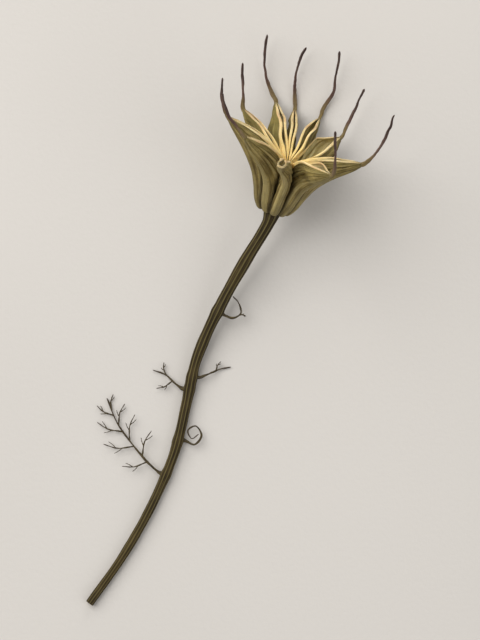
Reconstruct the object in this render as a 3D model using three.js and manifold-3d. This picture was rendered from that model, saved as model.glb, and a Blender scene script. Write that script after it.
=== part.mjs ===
// A nigella seed pod as picked: ten follicles in a whorl on a cut stem with five thread leaves.
// The pod lies on its side: three lower follicles, the stem and some leaf tips touch the surface.
// Millimetres, +Z up, the surface at z = 0, and the origin under the middle of the whole object.
import * as THREE from "three";
import { mergeVertices } from "three/addons/utils/BufferGeometryUtils.js";
import Module from "manifold-3d";

const wasm = await Module();
wasm.setup();

// Driving dimensions
const AXIS_RISE_DEG = 19.5; // the pod's axis above the surface
const AXIS_HEADING_DEG = 18; // the pod's axis, turned from +Y towards +X
const FIRST_AZIMUTH_DEG = -10; // of the first follicle; azimuth 90 faces the surface
const WALL = 0.5;
const SEAM_GAP = 0.24; // between neighbouring follicles
const JOINT_GAP = 0.4; // between the stem and what grows on it
const CLOSED_GAPE = 0.15; // half width of a seam where it is pressed shut
const BEAK_ROOT_RADIUS = 0.55;
const BEAK_TIP_RADIUS = 0.32;
const RECEPTACLE_RADIUS = 2.1;
const STEM_TOP_RADIUS = 1.6;
const STEM_CUT_RADIUS = 1.0;
const RACHIS_RADIUS = 0.42;
const THREAD_RADIUS = 0.28;

// Resolution
const BLADE_SIDES = 12;
const BLADE_STEPS = 17;
const CHAMBER_SIDES = 8;
const CHAMBER_STEPS = 11;
const BEAK_SIDES = 6;
const BEAK_STEPS = 10;
const STEM_SIDES = 12;
const STEM_STEPS = 32;
const THREAD_SIDES = 5;
const THREAD_STEPS = 5;

const { degToRad, lerp, smoothstep } = THREE.MathUtils;

// Stations of one follicle in its own upright plane, from the base to the root of the beak.
// Each pairs a point of the keel (outer edge) with a point of the ventral edge, as [radius, height],
// and gives the half width of the belly between them.
const STATIONS = [
  { keel: [2.4, 0.9], ventral: [0.85, 1.5], belly: 0.5 },
  { keel: [4.0, 0.3], ventral: [0.8, 3.2], belly: 1.45 },
  { keel: [5.7, 2.5], ventral: [0.8, 5.8], belly: 1.85 },
  { keel: [7.0, 5.8], ventral: [0.8, 8.6], belly: 1.95 },
  { keel: [8.6, 9.2], ventral: [0.8, 11.4], belly: 1.9 },
  { keel: [10.7, 12.3], ventral: [1.6, 13.9], belly: 1.75 },
  { keel: [13.0, 15.1], ventral: [5.0, 16.8], belly: 1.55 },
  { keel: [15.2, 17.4], ventral: [9.6, 19.2], belly: 1.3 },
  { keel: [17.0, 19.3], ventral: [13.6, 20.4], belly: 1.0 },
  { keel: [18.5, 21.2], ventral: [17.3, 21.5], belly: 0.62 },
];
const STAR = 4.6 / (STATIONS.length - 1); // where the ventral edge leaves the pod's axis
const BEAK_ROOT = [[17.2, 20.5], [18.3, 21.5]];

// The follicles in order round the pod. lean turns the free blade round the pod's axis in degrees,
// droop lowers its end, size scales it, gape is the half width of the open seam, and beak lists
// [radius, height, sideways] from near the root to the tip. The ninth has lost its beak.
const FOLLICLES = [
  { lean: 0, droop: 1.2, size: 1, gape: 0.5, beak: [[20.3, 24.2, 0], [21.2, 29.0, 0.3], [21.6, 34.8, 0.2]] },
  { lean: 23, droop: -0.8, size: 0.9, gape: 2.4, beak: [[17.3, 22.6, 0.4], [18.4, 27.2, 0.5], [19.1, 33.2, 0.3]] },
  { lean: 15, droop: 0, size: 1, gape: 0.5, beak: [[19.0, 23.8, 0.1], [20.1, 28.0, -0.8], [20.1, 31.5, -0.3], [19.7, 39.0, 0.8]] },
  { lean: 0, droop: 0, size: 1, gape: 0.4, beak: [[18.9, 23.4, 0.6], [19.5, 27.4, 1.8], [20.2, 32.0, 2.3], [20.0, 37.0, 1.9]] },
  { lean: -20, droop: 0, size: 1.03, gape: 0.5, beak: [[20.2, 23.3, 0.9], [21.8, 26.5, 3.0], [22.9, 31.0, 4.6], [23.2, 37.4, 6.0]] },
  { lean: -21, droop: 0, size: 0.95, gape: 0.4, beak: [[18.2, 23.4, 0.2], [19.6, 27.5, 0.8], [20.6, 31.3, 1.3]] },
  { lean: -12, droop: 0, size: 1, gape: 0.5, beak: [[19.8, 23.2, 0.1], [21.2, 26.3, -0.1], [22.3, 30.7, -0.3]] },
  { lean: -17, droop: 0, size: 0.95, gape: 0.6, beak: [[19.6, 22.4, -1.2], [22.2, 25.0, -2.8], [25.0, 30.2, -4.6]] },
  { lean: -13, droop: 2.4, size: 1, gape: 0.55, beak: [] },
  { lean: -5, droop: 2.6, size: 0.98, gape: 2.1, beak: [[18.7, 20.6, -0.6], [18.0, 24.6, -1.5], [16.4, 29.6, -2.4]] },
];
const BROKEN_AT = 0.92; // where the beakless blade ends

// The stem past the pod: [x, y, height] with x and y from the pod's base
const STEM_ROUTE = [
  [-6.6, -12.2, 6.3],
  [-12.8, -23.2, 3.9],
  [-18.8, -36.6, 2.0],
  [-21.5, -48.5, 1.37],
  [-24.2, -59.5, 1.27],
  [-30.2, -73.6, 1.17],
  [-37.6, -86.4, 1.09],
  [-45.5, -97.5, 1.0],
];

// The leaves in order down the stem. at is the share of the stem's length, from is the direction in
// which the leaf leaves the stem in degrees round +Z from +X, and route lists [x, y, height] with x
// and y from the leaf's own base. Threads are [share of the route, length, bearing, rise].
const LEAVES = [
  { at: 0.27, from: -30, route: [[2.2, -0.8, 3.6], [4.2, 0.4, 3.1], [3.6, 3.0, 3.0], [2.2, 4.6, 3.4]], threads: [[0.45, 1.6, -15, 0]] },
  { at: 0.43, from: -5, route: [[2.0, 0.7, 1.7], [5.4, 2.1, 0.5], [8.0, 2.6, 0.34]], threads: [[0.55, 2.6, 62, 0.3]] },
  { at: 0.46, from: 172, route: [[-2.0, 1.4, 1.5], [-4.2, 3.4, 0.7], [-7.4, 4.6, 0.34]], threads: [[0.35, 4.4, 205, -0.6], [0.6, 3.2, 100, -0.1]] },
  { at: 0.58, from: 10, route: [[2.6, -1.0, 1.6], [4.3, 1.2, 1.3], [2.9, 3.6, 1.9], [0.9, 2.5, 2.8], [1.9, 0.5, 3.3], [3.6, 1.6, 3.4]], threads: [] },
  {
    at: 0.66,
    from: 165,
    route: [[-2.6, 2.2, 1.7], [-6.6, 6.8, 1.1], [-10.6, 12.4, 0.7], [-13.2, 18.6, 0.4]],
    threads: [
      [0.18, 6.4, 190, -0.5], [0.26, 6.8, 70, 0.5], [0.4, 7.6, 176, -0.2], [0.48, 6.6, 78, 0.3],
      [0.6, 6.8, 160, -0.1], [0.68, 5.6, 74, 0.1], [0.8, 4.8, 150, 0], [0.86, 4.0, 84, 0],
    ],
  },
];

const asCurve = (points) => new THREE.SplineCurve(points.map(([x, y]) => new THREE.Vector2(x, y)));
const KEEL = asCurve(STATIONS.map((s) => s.keel));
const VENTRAL = asCurve(STATIONS.map((s) => s.ventral));
const BELLY = asCurve(STATIONS.map((s, i) => [i, s.belly]));

// A closed solid made by moving the vertices of a unit cylinder.
// place(t, angle, share) gives the point at t along the piece, at that angle round its section,
// and share is 1 on the skin and 0 in the middle of an end.
function sculpt(sides, steps, place) {
  const geometry = new THREE.CylinderGeometry(1, 1, 1, sides, steps);
  geometry.deleteAttribute("normal");
  geometry.deleteAttribute("uv");
  const position = geometry.getAttribute("position");
  for (let i = 0; i < position.count; i++) {
    const [x, y, z] = [position.getX(i), position.getY(i), position.getZ(i)];
    const t = Math.round((y + 0.5) * steps) / steps;
    position.setXYZ(i, ...place(t, Math.atan2(-z, x), Math.hypot(x, z)).toArray());
  }
  return mergeVertices(geometry, 1e-4);
}

// A round tapering rod along a curve
function rod(curve, sides, steps, radiusAt) {
  const frames = curve.computeFrenetFrames(steps);
  return sculpt(sides, steps, (t, angle, share) => {
    const i = Math.round(t * steps);
    const reach = radiusAt(t) * share;
    return curve
      .getPointAt(t)
      .addScaledVector(frames.normals[i], reach * Math.cos(angle))
      .addScaledVector(frames.binormals[i], reach * Math.sin(angle));
  });
}

const toSolid = (geometry) =>
  new wasm.Manifold(
    new wasm.Mesh({
      numProp: 3,
      vertProperties: new Float32Array(geometry.getAttribute("position").array),
      triVerts: new Uint32Array(geometry.index.array),
    }),
  );

function toGeometry(solid) {
  const mesh = solid.getMesh();
  return new THREE.BufferGeometry()
    .setAttribute("position", new THREE.BufferAttribute(mesh.vertProperties, 3))
    .setIndex(new THREE.BufferAttribute(mesh.triVerts, 1));
}

// How much of its lean and droop a follicle has taken up at t
const bendAt = (t) => smoothstep(t, 0.4, 0.85);

// A point at a radius, height and sideways offset of a follicle's own plane, with the bend at t
function bent({ lean, droop }, t, radius, height, sideways) {
  const point = new THREE.Vector3(radius, sideways, height - droop * bendAt(t));
  return point.applyAxisAngle(new THREE.Vector3(0, 0, 1), degToRad(lean * bendAt(t)));
}

// Half the free angle at t between a follicle and its neighbour, the next one or (side -1) the last
function slopeTo(index, side, t) {
  const count = FOLLICLES.length;
  const neighbour = FOLLICLES[(index + side + count) % count];
  const closing = side * (FOLLICLES[index].lean - neighbour.lean) * bendAt(t);
  return Math.tan(degToRad(360 / count - closing) / 2);
}

// The section of a follicle at t: its two edges, the line across, and its half widths at the belly
// and at the open seam.
function sectionAt(index, t) {
  const { size, gape } = FOLLICLES[index];
  const ventral = VENTRAL.getPoint(t).multiplyScalar(size);
  const across = KEEL.getPoint(t).multiplyScalar(size).sub(ventral);
  const open = CLOSED_GAPE + gape * Math.sin(Math.PI * smoothstep(t, STAR, 1));
  const belly = Math.max(BELLY.getPoint(t).y * size, Math.min(open + WALL, t * 9));
  return { ventral, across, open, belly };
}

// Half the width of a section at q, from 0 at the ventral edge to 1 at the keel, given the half width
// at the ventral edge and at the belly. angle runs round the section with 0 at the keel.
function halfWidth(q, angle, edge, belly) {
  const swell = Math.sin(Math.min(1, q / 0.6) * (Math.PI / 2));
  return Math.abs(Math.sin(angle)) ** lerp(0.45, 0.85, q) * lerp(edge, belly, swell);
}

// A layer of a follicle: q runs from start by the ventral edge to end by the keel, the half widths are
// given at the seam and at the belly, and inset keeps it back from the wedge between the neighbours.
function layerPoint(index, t, angle, share, { start, end, edge, belly, inset }) {
  const { ventral, across } = sectionAt(index, t);
  const q = (1 + Math.cos(angle)) / 2;
  const point = ventral.addScaledVector(across, lerp(start, end, lerp(0.5, q, share)));
  const side = Math.sign(Math.sin(angle));
  const room = Math.max(0.1, point.x * slopeTo(index, side, t) - SEAM_GAP / 2 - inset);
  const wide = side * Math.min(halfWidth(q, angle, edge, belly), room) * share;
  return bent(FOLLICLES[index], t, point.x, point.y, wide);
}

// The outside of a follicle's blade, solid
function bladeGeometry(index, last) {
  return sculpt(BLADE_SIDES, BLADE_STEPS, (u, angle, share) => {
    const t = u * last;
    const { open, belly } = sectionAt(index, t);
    const layer = { start: 0, end: 1, edge: Math.min(belly, open + WALL), belly, inset: 0 };
    return layerPoint(index, t, angle, share, layer);
  });
}

// The seed chamber, which runs out through the open seam of the free edge
function chamberGeometry(index, last) {
  return sculpt(CHAMBER_SIDES, CHAMBER_STEPS, (u, angle, share) => {
    const t = lerp(0.14, last, u);
    const { across, open, belly } = sectionAt(index, t);
    const depth = across.length();
    const start = lerp(2.1, -0.8, smoothstep(t, STAR, STAR + 0.09)) / depth;
    const inner = Math.max(open, belly - WALL);
    const layer = { start, end: 1 - WALL / depth, edge: open, belly: inner, inset: 0.8 * WALL };
    return layerPoint(index, t, angle, share, layer);
  });
}

// The long dry style at the end of a follicle
function beakGeometry(follicle) {
  const root = BEAK_ROOT.map(([radius, height]) => bent(follicle, 1, radius * follicle.size, height * follicle.size, 0));
  const rest = follicle.beak.map(([radius, height, sideways]) => bent({ ...follicle, droop: 0 }, 1, radius, height, sideways));
  const curve = new THREE.CatmullRomCurve3([...root, ...rest], false, "centripetal");
  return rod(curve, BEAK_SIDES, BEAK_STEPS, (t) => lerp(BEAK_ROOT_RADIUS, BEAK_TIP_RADIUS, t));
}

function follicleGeometry(follicle, index) {
  const broken = follicle.beak.length === 0;
  const blade = toSolid(bladeGeometry(index, broken ? BROKEN_AT : 1));
  const hollow = blade.subtract(toSolid(chamberGeometry(index, broken ? BROKEN_AT + 0.03 : BROKEN_AT - 0.02)));
  return toGeometry(broken ? hollow : hollow.add(toSolid(beakGeometry(follicle))));
}

// Materials
const papery = new THREE.MeshStandardMaterial({ color: 0x7c7247, roughness: 0.7, metalness: 0 });
const woody = new THREE.MeshStandardMaterial({ color: 0x5c5230, roughness: 0.75, metalness: 0 });
const thready = new THREE.MeshStandardMaterial({ color: 0x4d4326, roughness: 0.8, metalness: 0 });

function named(name, geometry, material) {
  const mesh = new THREE.Mesh(geometry, material);
  mesh.name = name;
  return mesh;
}

// The pod, its own +Z along its axis, laid down and raised to rest on its lowest follicles
function makePod() {
  const pod = new THREE.Group();
  FOLLICLES.forEach((follicle, i) => {
    const mesh = named(`follicle_${i + 1}`, follicleGeometry(follicle, i), papery);
    mesh.rotation.z = degToRad(FIRST_AZIMUTH_DEG + (360 / FOLLICLES.length) * i);
    pod.add(mesh);
  });
  pod.rotation.set(degToRad(AXIS_RISE_DEG - 90), 0, degToRad(-AXIS_HEADING_DEG), "ZXY");
  pod.position.z = -new THREE.Box3().setFromObject(pod, true).min.z;
  pod.updateMatrixWorld(true);
  return pod;
}

const pod = makePod();

const stemPath = new THREE.CatmullRomCurve3([
  pod.localToWorld(new THREE.Vector3(0, 0, 0.5)),
  pod.localToWorld(new THREE.Vector3(0, 0, -3)),
  ...STEM_ROUTE.map((point) => new THREE.Vector3(...point)),
]);

function stemRadius(t) {
  const stalk = lerp(STEM_TOP_RADIUS, STEM_CUT_RADIUS, t);
  return lerp(RECEPTACLE_RADIUS, stalk, smoothstep(t, 0, 0.035));
}

// One thread of a leaf, from start, bowed a little sideways on its way
function threadGeometry(start, [, length, bearing, rise]) {
  const heading = degToRad(bearing);
  const along = new THREE.Vector3(Math.cos(heading), Math.sin(heading), 0);
  const bow = new THREE.Vector3(-along.y, along.x, 0).multiplyScalar(0.1 * length);
  const tip = start.clone().addScaledVector(along, length);
  tip.z = Math.max(start.z + rise, THREAD_RADIUS);
  const middle = start.clone().lerp(tip, 0.55).add(bow);
  const curve = new THREE.CatmullRomCurve3([start, middle, tip]);
  return rod(curve, THREAD_SIDES, THREAD_STEPS, () => THREAD_RADIUS);
}

// A thread leaf: a thin rachis that leaves the stem, and its side threads
function leafGeometry({ at, from, route, threads }) {
  const heading = degToRad(from);
  const base = stemPath.getPointAt(at);
  const reach = stemRadius(at) + JOINT_GAP;
  base.add(new THREE.Vector3(Math.cos(heading) * reach, Math.sin(heading) * reach, 0));
  const points = route.map(([x, y, height]) => new THREE.Vector3(base.x + x, base.y + y, height));
  const rachis = new THREE.CatmullRomCurve3([base, ...points], false, "centripetal");
  const steps = 4 * points.length;
  const parts = [
    rod(rachis, THREAD_SIDES, steps, (t) => lerp(RACHIS_RADIUS, THREAD_RADIUS, t)),
    ...threads.map((thread) => threadGeometry(rachis.getPointAt(thread[0]), thread)),
  ];
  return toGeometry(parts.map(toSolid).reduce((leaf, part) => leaf.add(part)));
}

const plant = new THREE.Group();
plant.add(pod);
plant.add(named("stem", rod(stemPath, STEM_SIDES, STEM_STEPS, stemRadius), woody));
LEAVES.forEach((leaf, i) => plant.add(named(`leaf_${i + 1}`, leafGeometry(leaf), thready)));

// The origin is under the middle of the object's box
const box = new THREE.Box3().setFromObject(plant, true);
plant.position.set(-(box.min.x + box.max.x) / 2, -(box.min.y + box.max.y) / 2, -box.min.z);

const nigella_seed_pod = new THREE.Group();
nigella_seed_pod.add(plant);
export default nigella_seed_pod;
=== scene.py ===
"""A dried nigella seed pod as it was picked: ten papery follicles joined round one axis and split open
at the top into a star, nine of them with a long dry beak, on a ribbed stalk with five thread leaves.
It lies on a pale painted board and is seen from straight above."""
import math

import bpy
import numpy as np
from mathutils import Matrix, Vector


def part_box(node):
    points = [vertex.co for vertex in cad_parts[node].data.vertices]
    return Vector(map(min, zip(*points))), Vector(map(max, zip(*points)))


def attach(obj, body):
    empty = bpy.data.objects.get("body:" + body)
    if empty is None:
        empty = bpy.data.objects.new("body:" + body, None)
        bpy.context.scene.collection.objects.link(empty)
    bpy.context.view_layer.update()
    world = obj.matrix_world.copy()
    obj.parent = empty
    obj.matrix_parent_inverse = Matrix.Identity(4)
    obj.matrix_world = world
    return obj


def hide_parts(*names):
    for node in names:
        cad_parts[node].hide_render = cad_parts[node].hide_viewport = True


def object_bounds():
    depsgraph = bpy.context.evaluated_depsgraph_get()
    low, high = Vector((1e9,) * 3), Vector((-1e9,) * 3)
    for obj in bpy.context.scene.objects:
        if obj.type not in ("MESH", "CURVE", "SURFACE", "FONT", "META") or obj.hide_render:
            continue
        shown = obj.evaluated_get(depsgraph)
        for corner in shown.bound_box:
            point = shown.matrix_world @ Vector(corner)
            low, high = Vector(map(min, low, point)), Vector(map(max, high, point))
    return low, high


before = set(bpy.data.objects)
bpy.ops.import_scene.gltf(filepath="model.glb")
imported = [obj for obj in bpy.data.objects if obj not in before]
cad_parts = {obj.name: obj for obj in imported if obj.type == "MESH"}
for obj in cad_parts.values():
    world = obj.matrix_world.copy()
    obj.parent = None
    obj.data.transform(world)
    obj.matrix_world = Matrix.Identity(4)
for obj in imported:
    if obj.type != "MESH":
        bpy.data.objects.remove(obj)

CAD_LOW, CAD_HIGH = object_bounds()
MIDDLE = (CAD_LOW + CAD_HIGH) / 2
MM = 0.001
TURN = 2 * math.pi

# ---------------------------------------------------------------- camera and lamps, in metres

VIEW_HEIGHT = 1.8
VIEW_SPAN = 0.158  # the long side of what the camera takes in, at the height of the pod's middle
SENSOR = 36.0

camera_data = bpy.data.cameras.new("camera")
camera_data.sensor_width = SENSOR
camera_data.lens = SENSOR * (VIEW_HEIGHT - MIDDLE.z) / VIEW_SPAN
camera = bpy.data.objects.new("camera", camera_data)
camera.location = (MIDDLE.x, MIDDLE.y, VIEW_HEIGHT)
bpy.context.scene.collection.objects.link(camera)
bpy.context.scene.camera = camera


def lamp(name, side, watts, place, colour):
    """A square softbox at a place, turned to face the middle of the pod."""
    data = bpy.data.lights.new(name, "AREA")
    data.size = side
    data.energy = watts
    data.color = colour
    box = bpy.data.objects.new(name, data)
    box.location = place
    box.rotation_mode = "QUATERNION"
    box.rotation_quaternion = (MIDDLE - box.location).to_track_quat("-Z", "Y")
    bpy.context.scene.collection.objects.link(box)


lamp("window_softbox", 0.95, 9.8, (-0.55, 0.45, 0.75), (1.0, 0.985, 0.96))
lamp("fill_softbox", 0.8, 2.0, (0.75, -0.35, 0.6), (0.96, 0.98, 1.0))
lamp("back_softbox", 0.5, 2.0, (0.2, 0.8, 0.35), (1.0, 0.98, 0.95))


# ---------------------------------------------------------------- node helpers

PLANT_IOR = 1.45  # dry cellulose with air in it
PAINT_IOR = 1.5
MIX_SHARE, MIX_UNDER, MIX_OVER, MIX_RESULT = 0, 6, 7, 2  # a colour Mix's own socket numbers


def linear(hex_colour):
    """An sRGB colour such as 0x84764F as the linear RGBA that a shader takes."""
    parts = [(hex_colour >> shift & 255) / 255 for shift in (16, 8, 0)]
    return (*[c / 12.92 if c <= 0.04045 else ((c + 0.055) / 1.055) ** 2.4 for c in parts], 1.0)


def node(tree, kind, output=None, inputs=None, **settings):
    """Adds a node with its settings, sets or links its inputs, and gives back the output named. A
    whole number for a colour input is an sRGB colour."""
    made = tree.nodes.new(kind)
    for name, value in settings.items():
        setattr(made, name, value)
    for name, value in (inputs or {}).items():
        if isinstance(value, bpy.types.NodeSocket):
            tree.links.new(value, made.inputs[name])
        else:
            colour = made.inputs[name].type == "RGBA" and isinstance(value, int)
            made.inputs[name].default_value = linear(value) if colour else value
    return None if output is None else made.outputs[output]


def coats(tree, colour, layers):
    """Lays coats of colour over a first one. A coat is (value, low, high, most, colour): it comes in
    evenly as value goes from low to high, until it covers the share most."""
    for value, low, high, most, tint in layers:
        limits = {"Value": value, "From Min": low, "From Max": high, "To Max": most}
        share = node(tree, "ShaderNodeMapRange", "Result", limits, interpolation_type="SMOOTHSTEP")
        layer = {MIX_SHARE: share, MIX_UNDER: colour, MIX_OVER: tint}
        colour = node(tree, "ShaderNodeMix", MIX_RESULT, layer, data_type="RGBA")
    return colour


def surface(tree, colour, dull, dry, height, relief, ior, **constants):
    """Ends a material. Its roughness goes from the first to the second number of dry as dull goes
    from 0.3 to 0.7, and height is a bump that stands relief metres high. What is the same all over is
    set on the shader itself."""
    limits = {"Value": dull, "From Min": 0.3, "From Max": 0.7, "To Min": dry[0], "To Max": dry[1]}
    roughness = node(tree, "ShaderNodeMapRange", "Result", limits)
    bump = node(tree, "ShaderNodeBump", "Normal", {"Height": height, "Distance": relief})
    inputs = {"Base Color": colour, "Roughness": roughness, "Normal": bump, "IOR": ior, **constants}
    body = node(tree, "ShaderNodeBsdfPrincipled", "BSDF", inputs)
    node(tree, "ShaderNodeOutputMaterial", None, {"Surface": body})


def blank(name):
    """A new material and its empty node tree."""
    material = bpy.data.materials.new(name)
    material.use_nodes = True
    material.node_tree.nodes.clear()
    return material, material.node_tree


# ---------------------------------------------------------------- materials

# "flow" is stored on every plant piece: millimetres round its section, millimetres along it, and a
# number of its own, so that a pattern follows the growth of the piece. The follicles also store masks.
WALL_MASKS = ("lip", "painted_star_light", "lining", "keel", "rim", "crevice_shade", "green", "beak")
DULL_PLANT = 0.3  # the specular level of dry plant skin, which has lost its wax
NOISE = "ShaderNodeTexNoise"


def dried_follicle_wall():
    """Dried papery plant tissue, grown and then shrunk. The eye gets a matt olive-brown skin in
    patches, paler nerves and dark hollows running lengthwise, fine fibres, painted shade where a wall
    presses against its neighbour, a smoother straw-coloured inside made paler with painted light that
    shines through the thin wall, thick seam lips of golden cream painted brighter still towards the
    middle of the star as painted light, and a beak that turns brown and then nearly black."""
    material, tree = blank("dried_follicle_wall")
    flow = node(tree, "ShaderNodeAttribute", "Vector", attribute_name="flow")
    place = node(tree, "ShaderNodeTexCoord", "Object")
    lip, painted_star_light, lining, keel, rim, crevice_shade, green, beak = (
        node(tree, "ShaderNodeAttribute", "Fac", attribute_name=name) for name in WALL_MASKS
    )
    # Patches are 4 mm wide and flecks 0.7 mm. Nerves are 1.2 mm apart and 20 mm long, fibres 0.3 mm
    # and 5 mm, and a crinkle is 1.1 by 0.6 mm.
    patch = node(tree, NOISE, "Fac", {"Vector": place, "Scale": 1 / (4 * MM), "Detail": 4.0})
    fleck = node(tree, NOISE, "Fac", {"Vector": place, "Scale": 1 / (0.7 * MM), "Detail": 3.0})
    grown = []
    for across, lengthwise, detail in ((1.2, 20, 2.0), (0.3, 5, 4.0), (1.1, 0.6, 3.0)):
        rate = (1 / across, 1 / lengthwise, 1)
        laid = node(tree, "ShaderNodeMapping", "Vector", {"Vector": flow, "Scale": rate})
        grown.append(node(tree, NOISE, "Fac", {"Vector": laid, "Scale": 1.0, "Detail": detail}))
    nerve, fibre, crinkle = grown

    skin_colour = coats(tree, 0x705F33, [
        (patch, 0.36, 0.66, 1.0, 0x9F8C53),
        (nerve, 0.48, 0.7, 0.8, 0xBBA972),
        (nerve, 0.5, 0.32, 0.85, 0x4E3E1B),
        (green, 0.0, 1.0, 0.55, 0x746D30),
        (fibre, 0.52, 0.75, 0.5, 0xBCAA74),
        (fibre, 0.48, 0.28, 0.6, 0x443616),
        (rim, 0.0, 1.0, 0.35, 0x7B7140),
        (fleck, 0.62, 0.76, 0.5, 0x372C14),
        (keel, 0.0, 1.0, 0.5, 0x8B7F55),
        # painted shade: nearly black in the crease where the outside of a wall presses against its
        # neighbour
        (crevice_shade, 0.0, 1.0, 0.75, 0x2E2511),
    ])
    # The inside's own straw colour, made paler as painted light that shines through the thin wall.
    inside_colour_with_painted_glow = coats(tree, 0xA6945F, [
        (nerve, 0.35, 0.65, 1.0, 0xD2C590),
        (fibre, 0.5, 0.75, 0.4, 0xDED2A4),
        (patch, 0.52, 0.7, 0.45, 0x7D654A),
    ])
    lip_colour = coats(tree, 0xE4C281, [
        (fibre, 0.35, 0.62, 1.0, 0xFAE6B2),
        (patch, 0.5, 0.68, 0.45, 0xC8946C),
        # painted light: the lips turn a brighter gold towards the middle of the star
        (painted_star_light, 0.0, 0.8, 1.0, 0xFFE095),
    ])
    beak_colour = coats(tree, 0x736340, [
        (beak, 0.12, 0.45, 1.0, 0x59423A),
        (beak, 0.5, 1.0, 1.0, 0x3E2F2B),
        (fibre, 0.45, 0.75, 0.6, 0x8A7365),
    ])
    plus = {"operation": "MULTIPLY_ADD"}  # the first input times the second, plus the third
    frayed = node(tree, "ShaderNodeMath", "Value", {0: crinkle, 1: 0.3, 2: lip}, **plus)
    colour = coats(tree, skin_colour, [
        (lining, 0.0, 1.0, 1.0, inside_colour_with_painted_glow),
        (frayed, 0.5, 0.8, 1.0, lip_colour),
        (beak, 0.02, 0.14, 1.0, beak_colour),
    ])
    ribs = node(tree, "ShaderNodeMath", "Value", {0: nerve, 1: 2.0, 2: fibre}, **plus)
    height = node(tree, "ShaderNodeMath", "Value", {0: crinkle, 1: 0.9, 2: ribs}, **plus)
    papery = {
        "Specular IOR Level": DULL_PLANT,
        "Subsurface Weight": 0.12,
        "Subsurface Radius": (1.0, 0.7, 0.3),
        "Subsurface Scale": MM,
    }
    surface(tree, colour, patch, (0.58, 0.8), height, 0.3 * MM, PLANT_IOR, **papery)
    return material


def dried_stalk():
    """A dried herb stalk. The eye gets dull dark brown bark with olive ribs, long fibres, and a pale
    spongy pith where it was cut."""
    material, tree = blank("dried_stalk")
    flow = node(tree, "ShaderNodeAttribute", "Vector", attribute_name="flow")
    place = node(tree, "ShaderNodeTexCoord", "Object")
    rib = node(tree, "ShaderNodeAttribute", "Fac", attribute_name="rib")
    cut = node(tree, "ShaderNodeAttribute", "Fac", attribute_name="cut")
    # Patches are 7 mm wide and pores 0.4 mm. Fibres are 0.25 mm apart and 8 mm long.
    patch = node(tree, NOISE, "Fac", {"Vector": place, "Scale": 1 / (7 * MM), "Detail": 4.0})
    pore = node(tree, NOISE, "Fac", {"Vector": place, "Scale": 1 / (0.4 * MM), "Detail": 4.0})
    laid = node(tree, "ShaderNodeMapping", "Vector", {"Vector": flow, "Scale": (1 / 0.25, 1 / 8, 1)})
    coarse = {"Detail": 5.0, "Roughness": 0.62}
    fibre = node(tree, NOISE, "Fac", {"Vector": laid, "Scale": 1.0, **coarse})
    pith = coats(tree, 0xB8A77C, [(pore, 0.4, 0.6, 1.0, 0xDCCDA5)])
    colour = coats(tree, 0x281E09, [
        (patch, 0.35, 0.65, 1.0, 0x3B2E12),
        (fibre, 0.5, 0.75, 0.75, 0x6A5A31),
        (fibre, 0.5, 0.28, 1.0, 0x1C1507),
        (rib, 0.3, 1.0, 0.5, 0x7F7446),
        (cut, 0.0, 1.0, 1.0, pith),
    ])
    bark = {"Specular IOR Level": DULL_PLANT}
    surface(tree, colour, fibre, (0.85, 0.65), fibre, 0.2 * MM, PLANT_IOR, **bark)
    return material


def dried_leaf_thread():
    """A dried thread leaf. The eye gets a shrivelled string, near black in its folds and olive where
    it still lies flat, and browner towards the tip."""
    material, tree = blank("dried_leaf_thread")
    flow = node(tree, "ShaderNodeAttribute", "Vector", attribute_name="flow")
    tip = node(tree, "ShaderNodeAttribute", "Fac", attribute_name="tip")
    # Folds are 0.2 mm apart and 2 mm long.
    laid = node(tree, "ShaderNodeMapping", "Vector", {"Vector": flow, "Scale": (1 / 0.2, 1 / 2, 1)})
    fold = node(tree, NOISE, "Fac", {"Vector": laid, "Scale": 1.0, "Detail": 3.0})
    colour = coats(tree, 0x251C0E, [
        (fold, 0.35, 0.65, 1.0, 0x554826),
        (tip, 0.0, 1.0, 1.0, 0x3A2C1A),
    ])
    surface(tree, colour, fold, (0.75, 0.6), fold, 0.1 * MM, PLANT_IOR)
    return material


def painted_board():
    """Flat wall paint rolled on a board. The eye gets a matt warm pale grey with a faint stipple."""
    material, tree = blank("pale_painted_board")
    place = node(tree, "ShaderNodeTexCoord", "Object")
    # The stipple is 1.1 mm wide, and the paint is a little uneven over 160 mm.
    stipple = node(tree, NOISE, "Fac", {"Vector": place, "Scale": 1 / (1.1 * MM)})
    wash = node(tree, NOISE, "Fac", {"Vector": place, "Scale": 1 / (160 * MM)})
    colour = coats(tree, 0xCDC9C4, [(wash, 0.3, 0.7, 1.0, 0xD2CEC9)])
    surface(tree, colour, stipple, (0.82, 0.9), stipple, 0.05 * MM, PAINT_IOR)
    return material


WALL_FINISH = dried_follicle_wall()
STALK_FINISH = dried_stalk()
THREAD_FINISH = dried_leaf_thread()


# ---------------------------------------------------------------- curves and noise

RIPPLE_WAVES = 8
ROUTE_FINENESS = 60  # points on each stretch of a curve, before it is cut into equal steps


def smooth(value, low, high):
    """0 below low, 1 above high, and an even S between them."""
    share = np.clip((value - low) / (high - low), 0, 1)
    return share * share * (3 - 2 * share)


def mix(first, second, share):
    """The first at share 0, the second at share 1, and in a straight line between them."""
    return first + (second - first) * share


def mound(value, middle, width):
    """A bell of height 1 round middle, down to a third at width from it."""
    return np.exp(-(((value - middle) / width) ** 2))


def ripple(x, y, seed, wavelength):
    """Even noise of about -1 to 1: the sum of eight plane waves near one wavelength, with seeded
    headings and starts, divided by the root of their number."""
    waves = np.random.default_rng(seed)
    total = 0
    for _ in range(RIPPLE_WAVES):
        heading, start = waves.uniform(0, TURN, 2)
        rate = TURN / (wavelength * waves.uniform(0.7, 1.4))
        total = total + np.sin((x * math.cos(heading) + y * math.sin(heading)) * rate + start)
    return total / math.sqrt(RIPPLE_WAVES)


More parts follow.
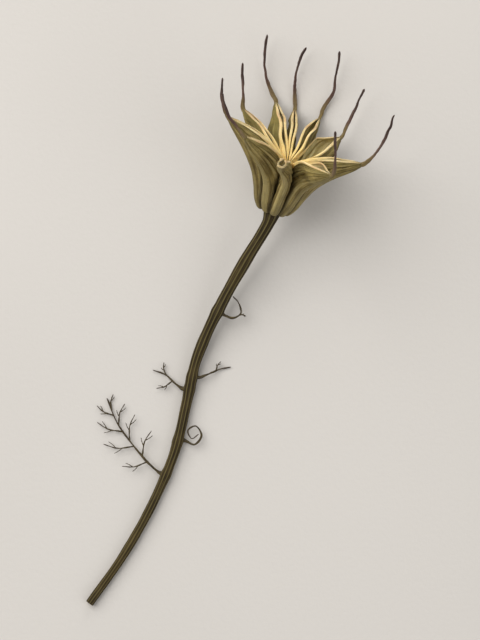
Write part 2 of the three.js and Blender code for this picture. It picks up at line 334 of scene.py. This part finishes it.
def through(stations, share):
    """An even Catmull-Rom curve through rows of numbers, read at shares from 0 to 1."""
    rows = np.asarray(stations, float)
    spot = np.clip(share, 0, 1) * (len(rows) - 1)
    first = np.clip(np.floor(spot).astype(int), 0, len(rows) - 2)
    w = (spot - first)[..., None]
    before, here, there, after = (rows[np.clip(first + k, 0, len(rows) - 1)] for k in (-1, 0, 1, 2))
    leave, arrive = (there - before) / 2, (after - here) / 2
    cubic = 2 * here - 2 * there + leave + arrive
    square = 3 * there - 3 * here - 2 * leave - arrive
    return cubic * w**3 + square * w**2 + leave * w + here


def route(points, steps):
    """A centripetal Catmull-Rom curve through points, cut into equal steps; and its length."""
    p = np.asarray(points, float)
    p = np.vstack([2 * p[0] - p[1], p, 2 * p[-1] - p[-2]])
    gap = np.sqrt(np.linalg.norm(np.diff(p, axis=0), axis=1))[:, None]
    w = np.linspace(0, 1, ROUTE_FINENESS, endpoint=False)[:, None]
    runs = []
    for a, b, c, d, g0, g1, g2 in zip(p, p[1:], p[2:], p[3:], gap, gap[1:], gap[2:]):
        leave = ((b - a) / g0 - (c - a) / (g0 + g1) + (c - b) / g1) * g1
        arrive = ((c - b) / g1 - (d - b) / (g1 + g2) + (d - c) / g2) * g1
        cubic = 2 * b - 2 * c + leave + arrive
        square = 3 * c - 3 * b - 2 * leave - arrive
        runs.append(cubic * w**3 + square * w**2 + leave * w + b)
    fine = np.vstack([*runs, p[-2:-1]])
    travelled = np.r_[0, np.cumsum(np.linalg.norm(np.diff(fine, axis=0), axis=1))]
    even = np.linspace(0, travelled[-1], steps + 1)
    cut = [np.interp(even, travelled, fine[:, k]) for k in range(3)]
    return np.column_stack(cut), travelled[-1]


# ---------------------------------------------------------------- surfaces

BOARD_GAP = 0.01  # the lowest a point may be, in millimetres


def tube(path, radius, across):
    """Rings of points round a path: at angle a each stands radius * (cos a * side + sin a * up) from
    the path, where side is square to the path and to across, and up is square to both."""
    heading = np.gradient(path, axis=0)
    side = np.cross(heading, across)
    side /= np.linalg.norm(side, axis=1, keepdims=True)
    up = np.cross(heading, side)
    up /= np.linalg.norm(up, axis=1, keepdims=True)
    angle = np.linspace(0, TURN, radius.shape[1], endpoint=False)[None, :, None]
    ring = np.cos(angle) * side[:, None] + np.sin(angle) * up[:, None]
    return path[:, None] + radius[..., None] * ring


def skin(grid, masks, broken=False):
    """A closed skin over a grid of rings: quads between rings, and a fan to the middle of each end.
    A broken end is a hollow wall's, whose ring runs along the outside and back along the inside, so
    there quads join each outside point to the inside point across the wall from it.
    Gives its points, quads and triangles, and each mask as one value for each point."""
    rows, cols = grid.shape[:2]
    index = np.arange(rows * cols).reshape(rows, cols)
    onward = np.roll(index, -1, axis=1)
    quads = [np.stack([index[:-1], onward[:-1], onward[1:], index[1:]], -1).reshape(-1, 4)]
    foot, top = np.full(cols, rows * cols), np.full(cols, rows * cols + 1)
    triangles = [np.stack([onward[0], index[0], foot], -1)]
    points = np.vstack([grid.reshape(-1, 3), grid[0].mean(0), grid[-1].mean(0)])
    if broken:
        points = points[:-1]
        half, step = cols // 2, np.arange(cols // 4)
        for start in (0, half):
            corners = [start + step, start + step + 1, start + half - step - 1, start + half - step]
            strip = np.stack([np.take(index[-1], corner, mode="wrap") for corner in corners], -1)
            quads.append(strip[:-1])
            triangles.append(strip[-1:, [0, 1, 3]])
    else:
        triangles.append(np.stack([index[-1], onward[-1], top], -1))
    values = {}
    for name, value in masks.items():
        value = np.broadcast_to(value, (rows, cols, *np.shape(value)[2:])).astype(float)
        flat = value.reshape(rows * cols, *value.shape[2:])
        values[name] = np.concatenate([flat, value[:1].mean(1), value[-1:].mean(1)])[:len(points)]
    return points, np.vstack(quads), np.vstack(triangles), values


def piece(name, skins, finish, node_name):
    """Joins skins, in millimetres, into one smooth object in metres that stands for a CAD node, with
    their masks stored on its points. What would sink into the board lies flat on it."""
    starts = np.cumsum([0, *(len(points) for points, *_ in skins)])
    quads = np.vstack([quads + start for (_, quads, _, _), start in zip(skins, starts)])
    triangles = np.vstack([triangles + start for (_, _, triangles, _), start in zip(skins, starts)])
    points = np.vstack([points for points, *_ in skins])
    points[:, 2] = np.maximum(points[:, 2], BOARD_GAP)
    mesh = bpy.data.meshes.new(name)
    mesh.from_pydata((points * MM).tolist(), [], quads.tolist() + triangles.tolist())
    for mask in skins[0][3]:
        values = np.concatenate([masks[mask] for *_, masks in skins]).astype(np.float32)
        kind, field = ("FLOAT_VECTOR", "vector") if values.ndim == 2 else ("FLOAT", "value")
        mesh.attributes.new(mask, kind, "POINT").data.foreach_set(field, values.ravel())
    mesh.polygons.foreach_set("use_smooth", np.ones(len(mesh.polygons), bool))
    mesh.materials.append(finish)
    mesh.update()
    thing = bpy.data.objects.new(name, mesh)
    bpy.context.scene.collection.objects.link(thing)
    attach(thing, "root")
    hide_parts(node_name)


# ---------------------------------------------------------------- the pod's own directions, in mm

AXIS_RISE = math.radians(19.5)
AXIS_HEADING = math.radians(18)
RECEPTACLE_RADIUS = 2.1
RECEPTACLE_TOP = 0.5

AXIS = np.array([
    math.cos(AXIS_RISE) * math.sin(AXIS_HEADING),
    math.cos(AXIS_RISE) * math.cos(AXIS_HEADING),
    math.sin(AXIS_RISE),
])
ZERO = np.array([math.cos(AXIS_HEADING), -math.sin(AXIS_HEADING), 0.0])
QUARTER = np.cross(AXIS, ZERO)
UPRIGHT = np.array([0.0, 0.0, 1.0])

# The stem's highest corner is the rim of its top disc, which is square to the axis.
STEM_CORNER = np.array(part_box("stem")[1]) / MM
POD_BASE = STEM_CORNER - AXIS * RECEPTACLE_TOP - RECEPTACLE_RADIUS * np.sqrt(1 - AXIS**2)


def placed(radius, height, sideways, azimuth):
    """Points at a radius from the pod's axis and a height along it, sideways of an azimuth."""
    a = np.radians(azimuth)
    out = radius * np.cos(a) - sideways * np.sin(a)
    over = radius * np.sin(a) + sideways * np.cos(a)
    return POD_BASE + out[..., None] * ZERO + over[..., None] * QUARTER + height[..., None] * AXIS


# ---------------------------------------------------------------- follicles

# The usual follicle at ten stations from its base to the root of its beak: the keel and the seam as
# (radius, height) and the half width of the belly.
KEEL = [(2.4, 0.9), (4.0, 0.3), (5.7, 2.5), (7.0, 5.8), (8.6, 9.2),
        (10.7, 12.3), (13.0, 15.1), (15.2, 17.4), (17.0, 19.3), (18.5, 21.2)]
SEAM = [(0.3, 1.5), (0.15, 3.2), (0.15, 5.8), (0.15, 8.6), (0.2, 11.4),
        (1.3, 13.8), (5.0, 16.8), (9.6, 19.2), (13.6, 20.4), (17.3, 21.5)]
BELLY = [(0.6,), (1.5,), (1.95,), (2.05,), (1.95,), (1.8,), (1.6,), (1.35,), (1.0,), (0.56,)]
BLADE_LENGTH = 27  # along the middle of the wall
STAR = 4.6 / 9  # where the seam leaves the axis and opens
BEAK_ROOT = [(17.2, 20.5), (18.3, 21.5)]
BROKEN_AT = 0.92

WALL = 0.38
LIP = 0.3  # the radius of the bead along each edge of the seam
CLOSED_GAPE = 0.12
LEAST_GAPE = 0.04  # where the walls wave towards each other; none at the keel, where they join
CLEARANCE = 0.03  # from the plane half way to the neighbour
THIN = 0.06  # what is left of the wall where a neighbour presses on it
LIP_DEPTH = 0.55  # how far the bead fades down the wall

# Nerves stand proud of the wall and hollows sink into it: (share of the depth, width, height).
NERVES = [(0.44, 0.03, 0.34), (0.62, 0.022, 0.2), (0.8, 0.025, 0.2), (0.22, 0.03, 0.16)]
HOLLOWS = [(0.71, 0.07, 0.26), (0.53, 0.06, 0.3)]

# Waves that both faces of the wall follow: (height, wavelength).
BROAD_WAVE = (0.2, 6.0)
FINE_WAVE = (0.08, 2.6)
FRILL = (0.22, 5.0)
FRILL_DEPTH = 2.2

# Round the pod from the first azimuth. lean turns the free end round the axis, in degrees; droop
# lowers it; size scales it; gape is the half width of the open seam, which widens later if late is
# above 1; arch lifts the open seam; slim narrows the belly and flare widens its broken end; green is
# how much green is left; beak is (radius, height, sideways) from near the root to the tip.
FIRST_AZIMUTH = -10.0
USUAL = dict(lean=0, droop=0, size=1, gape=0.5, late=1, arch=0, slim=0, flare=0, green=0.3)
FOLLICLES = [{**USUAL, **own} for own in [
    dict(droop=1.2, gape=0.8, green=0.35,
         beak=[(20.3, 24.2, 0), (21.2, 29.0, 0.3), (21.6, 34.8, 0.2)]),
    dict(lean=23, droop=-0.8, size=0.9, gape=2.4, green=0.2,
         beak=[(17.3, 22.6, 0.4), (18.4, 27.2, 0.5), (19.1, 33.2, 0.3)]),
    dict(lean=15, gape=0.55, late=1.9,
         beak=[(19.0, 23.8, 0.1), (20.1, 28.0, -0.8), (20.1, 31.5, -0.3), (19.7, 39.0, 0.8)]),
    dict(gape=0.15, slim=0.3,
         beak=[(18.9, 23.4, 0.6), (19.5, 27.4, 1.8), (20.2, 32.0, 2.3), (20.0, 37.0, 1.9)]),
    dict(lean=-20, size=1.03, gape=0.25, green=0.9,
         beak=[(20.2, 23.3, 0.9), (21.8, 26.5, 3.0), (22.9, 31.0, 4.6), (23.2, 37.4, 6.0)]),
    dict(lean=-21, size=0.95, gape=0.4, green=0.6,
         beak=[(18.2, 23.4, 0.2), (19.6, 27.5, 0.8), (20.6, 31.3, 1.3)]),
    dict(lean=-12, green=0.2, beak=[(19.8, 23.2, 0.1), (21.2, 26.3, -0.1), (22.3, 30.7, -0.3)]),
    dict(lean=-17, size=0.95, gape=0.6, green=0.15,
         beak=[(19.6, 22.4, -1.2), (22.2, 25.0, -2.8), (25.0, 30.2, -4.6)]),
    dict(lean=-13, droop=2.4, slim=0.22, flare=0.6, green=0.1, beak=[]),
    dict(lean=-5, droop=2.6, size=0.98, gape=2.3, arch=1.3, green=0.4,
         beak=[(18.7, 20.6, -0.6), (18.0, 24.6, -1.5), (16.4, 29.6, -2.4)]),
]]
SPACING = 360 / len(FOLLICLES)
BLADE_ROWS = 130
WALL_POINTS = 38
LIP_POINTS = 9
WALL_GIRTH = 24  # what a half wall's section measures outside and inside, for the patterns on it


def bend(t):
    """How much of its lean and droop a follicle has taken at t."""
    return smooth(t, 0.4, 0.85)


def room_beside(index, side, t, radius):
    """How far from its own plane a follicle may reach on one side before it meets its neighbour:
    radius times the tangent of half the free angle between them."""
    neighbour = FOLLICLES[(index + side) % len(FOLLICLES)]
    closing = side * (FOLLICLES[index]["lean"] - neighbour["lean"]) * bend(t)
    return np.maximum(radius * np.tan(np.radians(SPACING - closing) / 2) - CLEARANCE, 0.01)


def half_wall(index, side, t):
    """Half of a follicle's wall, as rows of t, from the keel outside, round the lip and back to the
    keel inside. q is the share of the depth from the seam to the keel. Outside, the half width goes
    from the lip to the belly as a quarter sine of q / 0.6, and closes on the keel as a power of the
    sine of the angle; nerves, hollows and a bead at the lip are bells added to it. Inside it is one
    wall less. The lip is half a circle. Waves bend both faces together, the room beside a neighbour
    limits both, and the seam gapes as a half sine of t from where it leaves the axis."""
    seed = index * 10 + (side > 0)
    own = FOLLICLES[index]
    size = own["size"]
    opening = np.sin(math.pi * smooth(t, STAR, 1.0) ** own["late"])
    keel, seam = through(KEEL, t) * size, through(SEAM, t) * size
    seam[:, 1] += own["arch"] * opening
    gape = CLOSED_GAPE + own["gape"] * opening
    belly = through(BELLY, t)[..., 0] * size * (1 - own["slim"] * smooth(t, 0.1, 0.4))
    belly = belly * (1 + own["flare"] * smooth(t, 0.75, 0.94))
    belly = np.maximum(belly, np.minimum(gape + 0.5, 9 * t))
    lip = LIP * (0.35 + 0.65 * smooth(t, STAR - 0.12, STAR + 0.05))
    lip = lip * (1 - 0.5 * smooth(t, 0.88, 1.0))
    depth = np.linalg.norm(keel - seam, axis=-1)

    angle = np.linspace(0, math.pi, WALL_POINTS)[None]
    q = (1 + np.cos(angle)) / 2
    swell = np.sin(np.minimum(1, q / 0.6) * math.pi / 2)
    closing = np.where(q > 0.5, np.abs(np.sin(angle)) ** mix(0.45, 0.85, q), 1.0)
    turn = np.linspace(0, math.pi, LIP_POINTS + 2)[None, 1:-1]

    t, depth, belly, gape, lip = (value[:, None] for value in (t, depth, belly, gape, lip))
    length, deep = t * BLADE_LENGTH * size, q * depth
    free = smooth(t, 0.08, 0.3) * (1 - smooth(t, 0.82, 0.98))
    relief = (2 * lip - WALL) * mound(deep, 0, LIP_DEPTH)
    for place, width, rise in NERVES:
        wander = 0.03 * np.sin(4 * t + seed + 9 * place)
        relief = relief + free * rise * mound(q, place + wander, width)
    for place, width, fall in HOLLOWS:
        relief = relief - free * fall * mound(q, place, width)
    broad = BROAD_WAVE[0] * ripple(deep, length, seed, BROAD_WAVE[1])
    fine = FINE_WAVE[0] * ripple(deep * 1.6, length, seed + 3, FINE_WAVE[1])
    frill = FRILL[0] * ripple(0 * length, length, seed + 5, FRILL[1])
    frill = frill * smooth(t, STAR, STAR + 0.15) * free
    shift = (broad + fine) * np.sin(math.pi * q) * free + frill * mound(deep, 0, FRILL_DEPTH)
    outside = (mix(gape + WALL, belly, swell) + relief) * closing + shift
    inside = mix(gape, np.maximum(gape, belly - WALL), swell) * closing + shift
    q_inside = q * (1 - WALL / np.maximum(depth, 1.0)) + 0 * t
    lip_side = gape + lip * (1 + np.cos(turn)) + frill
    lip_spot = -0.9 * lip * np.sin(turn) / depth

    wide = np.concatenate([outside, lip_side, inside[:, ::-1]], 1)
    spot = np.concatenate([q + 0 * t, lip_spot, q_inside[:, ::-1]], 1)
    inner = np.concatenate([0 * outside, 0 * lip_side + turn / math.pi, 0 * inside + 1], 1)
    point = seam[:, None] + spot[..., None] * (keel - seam)[:, None]
    radius, height = point[..., 0], point[..., 1]
    room = room_beside(index, side, t, np.maximum(radius, 0.05))
    least = LEAST_GAPE * np.sqrt(1 - q)
    least = np.concatenate([least, 0 * turn + LEAST_GAPE, least[:, ::-1]], 1)
    wide = np.clip(wide, least, np.maximum(room - THIN * inner, room * (1 - inner / 2)))
    girth = np.cumsum(np.hypot(np.diff(spot * depth, prepend=0), np.diff(wide, prepend=0)), 1)
    girth = girth - girth[:, :1]
    # Painted shade: near 1 where the outside of the wall comes close to its neighbour, for a dark crease
    # there.
    touching_shade = mound(np.maximum(room - wide, 0), 0, 0.6) * smooth(radius, 0.5, 2.0)
    return dict(
        radius=radius,
        height=height,
        sideways=side * wide,
        inner=inner,
        girth=side * WALL_GIRTH * girth / girth[:, -1:],
        from_lip=np.abs(spot) * depth,
        to_keel=np.abs(1 - spot) * depth,
        crevice_shade=touching_shade * (inner < 0.5),
    )


# Painted light: within this distance of the axis the star is painted a brighter gold.
STAR_LIGHT_RADIUS = 7.0  # how far the golden middle of the star reaches


def blade(index, last=1.0):
    """A follicle's whole wall: two half walls joined at the keel in one ring for each t. The first
    rings grow from a point, and the last ones close on the root of the beak or, where the beak is
    lost, stop at the broken edge."""
    own = FOLLICLES[index]
    even = np.linspace(0, 1, BLADE_ROWS)
    t = last * mix(even, (1 - np.cos(math.pi * even)) / 2, 0.6)
    left, right = half_wall(index, 1, t), half_wall(index, -1, t)
    ring = {key: np.concatenate([left[key], right[key][:, -2:0:-1]], 1) for key in left}
    t = t[:, None]
    whole = last == 1.0
    grown = np.sqrt(np.clip(t / 0.05, 0.002, 1))
    if whole:
        grown = grown * np.sqrt(np.clip((1 - t) / 0.06, 0.002, 1))
    for key in ("radius", "height", "sideways"):
        middle = (ring[key].max(1) + ring[key].min(1))[:, None] / 2
        ring[key] = mix(middle, ring[key], grown)
    azimuth = FIRST_AZIMUTH + SPACING * index + own["lean"] * bend(t)
    grid = placed(ring["radius"], ring["height"] - own["droop"] * bend(t), ring["sideways"], azimuth)

    open_part = smooth(t, STAR - 0.05, STAR + 0.03)
    # Painted light at the middle of the star: a brighter gold there, and the cream of the lips spread wider
    # over the walls.
    painted_star_light = mound(ring["radius"], 0, STAR_LIGHT_RADIUS) * open_part
    lip_width = mix(0.42, 0.28, ring["inner"]) + 2.3 * painted_star_light**2
    broken = 0 * t if whole else mound((last - t) * BLADE_LENGTH, 0, 0.8)
    outer = ring["inner"] < 0.5
    none = np.zeros_like(ring["radius"])
    masks = {
        "flow": np.stack([ring["girth"], none + t * BLADE_LENGTH, none + index * 7.3], -1),
        "lip": np.maximum(mound(ring["from_lip"], 0, lip_width) * open_part, broken),
        # painted light at the middle of the star
        "painted_star_light": painted_star_light,
        "lining": np.clip(2 * ring["inner"] - 0.5, 0, 1),
        "keel": mound(ring["to_keel"], 0, 0.35) * outer,
        "rim": mound(ring["from_lip"], 0, 2.2) * outer,
        # the painted shade in the crease, taken off where the star is painted light
        "crevice_shade": ring["crevice_shade"] * (1 - painted_star_light),
        "green": none + own["green"] * smooth(t, 0.35, 0.7),
        "beak": none + smooth(t, 0.9, 1.05) * 0.12,
    }
    return grid, masks


BEAK_RADII = (0.5, 0.4)  # at the root and past it
BEAK_TAPER = 0.7  # the tip's share of that
BEAK_STEPS = 70
BEAK_SIDES = 14


def beak(index):
    """The dry style on top of a follicle: a thin rod along its route, oval, slowly twisting, a little
    knobbly, and tapered to a point that has dried shut."""
    own = FOLLICLES[index]
    azimuth = FIRST_AZIMUTH + SPACING * index + own["lean"]
    size, droop = own["size"], own["droop"]
    root = [(radius * size, height * size - droop, 0) for radius, height in BEAK_ROOT]
    stops = np.array([*root, *own["beak"]], float)
    path, length = route(placed(stops[:, 0], stops[:, 1], stops[:, 2], azimuth), BEAK_STEPS)
    t = np.linspace(0, 1, len(path))[:, None]
    kinks = np.column_stack([ripple(t[:, 0] * length, 0, index * 5 + k, 4.0) for k in range(3)])
    path = path + 0.12 * kinks * t
    angle = np.linspace(0, TURN, BEAK_SIDES, endpoint=False)[None]
    radius = mix(*BEAK_RADII, smooth(t, 0.1, 0.45)) * mix(1.0, BEAK_TAPER, t)
    knobs = ripple(t * length, angle * 0.6, index + 70, 1.6)
    oval = 1 + 0.2 * np.cos(2 * (angle - 5 * t)) + 0.08 * knobs
    closed = np.sqrt(np.clip(np.minimum(t / 0.04, (1 - t) / 0.035), 0.0, 1))
    a = math.radians(azimuth)
    sideways = math.cos(a) * QUARTER - math.sin(a) * ZERO
    grid = tube(path, radius * oval * np.maximum(closed, 0.02), sideways)
    none = np.zeros(grid.shape[:2])
    masks = {name: none for name in ("flow", *WALL_MASKS)}
    masks["flow"] = np.stack([none + angle * 0.4, none + t * length, none + index], -1)
    masks["beak"] = none + 0.08 + 0.92 * smooth(t, 0.02, 0.9)
    return grid, masks


for number, own in enumerate(FOLLICLES):
    if own["beak"]:
        skins = [skin(*blade(number)), skin(*beak(number))]
    else:
        skins = [skin(*blade(number, BROKEN_AT), broken=True)]
    name = f"follicle_{number + 1}"
    piece(f"{name}_wall_and_beak", skins, WALL_FINISH, name)


# ---------------------------------------------------------------- stalk

# From the board under the pod's base, with heights above the board.
STEM_ROUTE = np.array([
    (-6.6, -12.2, 6.3), (-12.8, -23.2, 3.9), (-18.8, -36.6, 2.0), (-21.5, -48.5, 1.37),
    (-24.2, -59.5, 1.27), (-30.2, -73.6, 1.17), (-37.6, -86.4, 1.09), (-45.5, -97.5, 1.0),
])
STEM_TOP_RADIUS = 1.6
STEM_CUT_RADIUS = 1.0
STEM_RIBS = 9
RIB_TWIST = 0.9
RIB_HEIGHT = 0.045  # this and the next two are shares of the radius
JOINT_SWELLING = 0.12
SHRINKAGE = 0.03
JOINT_LENGTH = 1.3
STEM_STEPS = 520
STEM_SIDES = 90
CUT_RINGS = [(0.96, -0.03), (0.82, 0.02), (0.6, 0.14), (0.3, 0.2)]  # share of the radius, and depth

UNDER_BASE = POD_BASE * (1, 1, 0)
STEM_PATH, STEM_LENGTH = route([
    POD_BASE + AXIS * RECEPTACLE_TOP, POD_BASE - AXIS * 3, *(UNDER_BASE + STEM_ROUTE),
], STEM_STEPS)

# at is the share of the stem down to the leaf and out its heading, in degrees. The route starts from
# the stem's skin, with heights above the board. Each of threads is (share of the route, length,
# bearing, rise).
LEAVES = [
    dict(at=0.27, out=-30, route=[(2.2, -0.8, 3.6), (4.2, 0.4, 3.1), (3.6, 3.0, 3.0), (2.2, 4.6, 3.4)],
         threads=[(0.45, 1.6, -15, 0)]),
    dict(at=0.43, out=-5, route=[(2.0, 0.7, 1.7), (5.4, 2.1, 0.5), (8.0, 2.6, 0.34)],
         threads=[(0.55, 2.6, 62, 0.3)]),
    dict(at=0.46, out=172, route=[(-2.0, 1.4, 1.5), (-4.2, 3.4, 0.7), (-7.4, 4.6, 0.34)],
         threads=[(0.35, 4.4, 205, -0.6), (0.6, 3.2, 100, -0.1)]),
    dict(at=0.58, out=10, threads=[],
         route=[(2.6, -1.0, 1.6), (4.3, 1.2, 1.3), (2.9, 3.6, 1.9), (0.9, 2.5, 2.8),
                (1.9, 0.5, 3.3), (3.6, 1.6, 3.4)]),
    dict(at=0.66, out=165,
         route=[(-2.6, 2.2, 1.7), (-6.6, 6.8, 1.1), (-10.6, 12.4, 0.7), (-13.2, 18.6, 0.4)],
         threads=[(0.18, 6.4, 190, -0.5), (0.26, 6.8, 70, 0.5), (0.4, 7.6, 176, -0.2), (0.48, 6.6, 78, 0.3),
                  (0.6, 6.8, 160, -0.1), (0.68, 5.6, 74, 0.1), (0.8, 4.8, 150, 0), (0.86, 4.0, 84, 0)]),
]


def stem_radius(t):
    """The stalk's taper, with the receptacle's swelling at the top."""
    return mix(RECEPTACLE_RADIUS, mix(STEM_TOP_RADIUS, STEM_CUT_RADIUS, t), smooth(t, 0, 0.035))


def stalk():
    """The stalk: rings along its route with nine soft ribs that turn slowly, a joint swelling at each
    leaf, uneven shrinkage, a flat where it rests on the board, and at the cut a shallow pith."""
    t = np.linspace(0, 1, len(STEM_PATH))[:, None]
    angle = np.linspace(0, TURN, STEM_SIDES, endpoint=False)[None]
    along = t * STEM_LENGTH
    ribs = np.cos(STEM_RIBS * (angle + RIB_TWIST * t)) * smooth(t, 0, 0.05)
    joints = sum(mound(along, leaf["at"] * STEM_LENGTH, JOINT_LENGTH) for leaf in LEAVES)
    shrunk = ripple(along, angle * 1.2, 81, 9.0) + ripple(along, 0 * angle, 82, 14.0)
    relief = RIB_HEIGHT * ribs + JOINT_SWELLING * joints + SHRINKAGE * shrunk
    radius = stem_radius(t) * (0.97 + relief)
    top = np.sqrt(np.clip(1 - (1 - np.clip(along / 0.8, 0, 1)) ** 2, 0.0025, 1))
    grid = tube(STEM_PATH, radius * top, UPRIGHT)
    centre = STEM_PATH[-1]
    inward = (STEM_PATH[-8] - centre) / np.linalg.norm(STEM_PATH[-8] - centre)
    pith = [centre + inward * depth + (grid[-1] - centre) * share for share, depth in CUT_RINGS]
    grid = np.concatenate([grid, pith])
    t = np.r_[t[:, 0], np.ones(len(CUT_RINGS))][:, None]
    none = np.zeros(grid.shape[:2])
    masks = {
        "flow": np.stack([none + angle * 1.4, none + t * STEM_LENGTH, none], -1),
        "rib": np.clip(np.cos(STEM_RIBS * (angle + RIB_TWIST * t)), 0, 1),
        "cut": none + (np.arange(len(grid)) > len(grid) - len(CUT_RINGS))[:, None],
    }
    return skin(grid, masks)


piece("stalk", [stalk()], STALK_FINISH, "stem")


# ---------------------------------------------------------------- leaves

RACHIS_RADII = (0.34, 0.13)
THREAD_RADII = (0.21, 0.1)
TINE_RADII = (0.13, 0.07)
CAD_THREAD_RADIUS = 0.28
JOINT_GAP = 0.4
SHEATH = 0.7  # how much thicker a leaf is where it leaves the stalk
THREAD_SIDES = 10
TINES = ((1, 9), (-1, 14))  # the side each stands on, and its step of the thread's 24


def thread(path, length, radii, seed, sheath=0.0):
    """A shrivelled thread: a rod that thins to its tip, squeezed oval and twisting as it goes."""
    t = np.linspace(0, 1, len(path))[:, None]
    angle = np.linspace(0, TURN, THREAD_SIDES, endpoint=False)[None]
    folds = ripple(t * length, angle, seed, 1.5)
    oval = 1 + 0.22 * np.cos(2 * (angle - 9 * t + seed)) + 0.1 * folds
    radius = mix(*radii, t**0.8) * oval * (1 + sheath * mound(t * length, 0, 1.2))
    grid = tube(path, radius * np.sqrt(np.clip((1.02 - t) / 0.05, 0.0, 1)), UPRIGHT)
    none = np.zeros(grid.shape[:2])
    masks = {
        "flow": np.stack([none + angle * 0.3, none + t * length, none + seed], -1),
        "tip": none + t**2,
    }
    return skin(grid, masks)


def leaf_threads(leaf, seed):
    """A leaf: its rachis from inside the stalk's skin, its side threads, and two tines on each."""
    heading = math.radians(leaf["out"])
    out = np.array([math.cos(heading), math.sin(heading), 0.0])
    middle = STEM_PATH[round(leaf["at"] * (len(STEM_PATH) - 1))]
    radius = stem_radius(np.array(leaf["at"]))
    foot = middle + out * (radius + JOINT_GAP)
    stops = [(foot[0] + x, foot[1] + y, height) for x, y, height in leaf["route"]]
    rachis, length = route([middle + out * radius * 0.7, foot, *stops], 60)
    skins = [thread(rachis, length, RACHIS_RADII, seed, SHEATH)]
    marks, _ = route([foot, *stops], 100)
    for number, (share, reach, bearing, rise) in enumerate(leaf["threads"]):
        start = marks[round(share * 100)]
        a = math.radians(bearing)
        ahead = np.array([math.cos(a), math.sin(a), 0.0])
        left = np.array([-ahead[1], ahead[0], 0.0])
        tip = start + ahead * reach
        tip[2] = max(start[2] + rise, CAD_THREAD_RADIUS)
        bow = mix(start, tip, 0.55) + left * 0.1 * reach
        path, run = route([start, bow, tip], 24)
        skins.append(thread(path, run, THREAD_RADII, seed + number + 1))
        for side, spot in TINES:
            fork = path[spot]
            end = fork + (ahead * 0.8 + left * side * 0.6) * reach * 0.32
            end[2] = max(end[2], THREAD_RADII[0])
            tine, run = route([fork, mix(fork, end, 0.5) + left * side * 0.12, end], 12)
            skins.append(thread(tine, run, TINE_RADII, seed + number + 30))
    return skins


for number, leaf in enumerate(LEAVES):
    skins = leaf_threads(leaf, 100 + 40 * number)
    piece(f"leaf_{number + 1}_threads", skins, THREAD_FINISH, f"leaf_{number + 1}")


# ---------------------------------------------------------------- board, surroundings and end

HALF_BOARD = 1.5
board_mesh = bpy.data.meshes.new("board")
board_corners = np.array([(-1, -1, 0), (1, -1, 0), (1, 1, 0), (-1, 1, 0)]) * HALF_BOARD
board_mesh.from_pydata(board_corners.tolist(), [], [(0, 1, 2, 3)])
board_mesh.materials.append(painted_board())
board = bpy.data.objects.new("board", board_mesh)
bpy.context.scene.collection.objects.link(board)

world = bpy.data.worlds.new("studio")
world.use_nodes = True
world.node_tree.nodes["Background"].inputs["Color"].default_value = linear(0xE9E7E4)
world.node_tree.nodes["Background"].inputs["Strength"].default_value = 0.5
bpy.context.scene.world = world
bpy.context.scene.view_settings.view_transform = "Standard"
